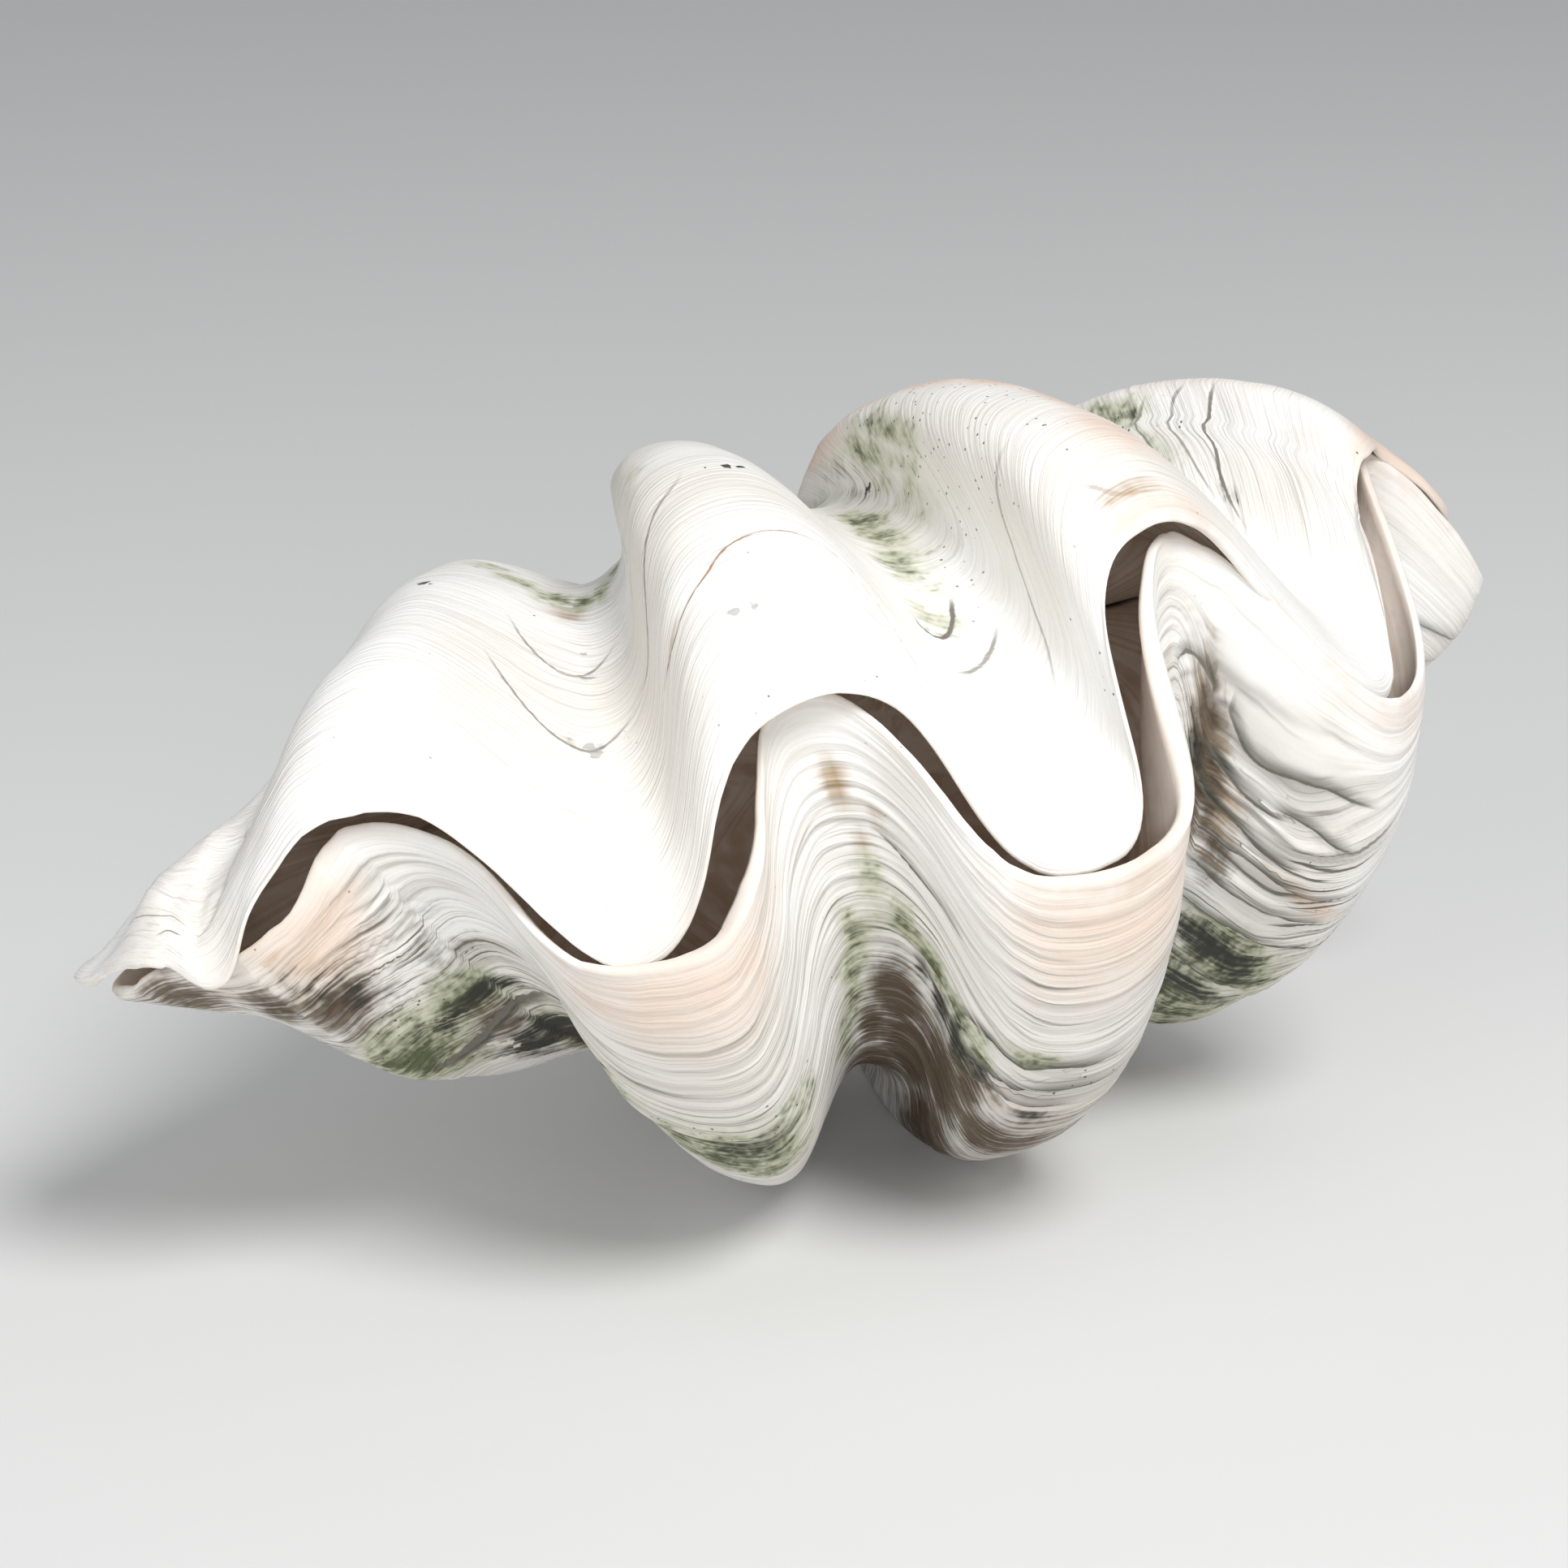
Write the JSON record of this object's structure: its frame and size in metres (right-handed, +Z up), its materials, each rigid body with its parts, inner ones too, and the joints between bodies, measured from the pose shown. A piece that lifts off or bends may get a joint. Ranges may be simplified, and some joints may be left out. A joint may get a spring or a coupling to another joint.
{
  "type": "giant clam shell",
  "caption": "Nearly closed giant clam shell: thick paired valves with deep rounded folds that interlock along a wavy margin, hollow inside, lying on its lowest ribs.",
  "frame": {"origin": "centre of the bounding box in X and Y, on the level surface that the shell stands on", "axes": "+X along the shell's length, towards its raised right end; -Y towards the gape and the wavy margin; +Z up"},
  "size_m": [0.8132, 0.4706, 0.4108],
  "materials": {
    "upper_shell": "matte",
    "lower_shell": "matte"
  },
  "bodies": {
    "root": {"upper_valve": "upper_shell", "lower_valve": "lower_shell"}
  },
  "joints": []
}
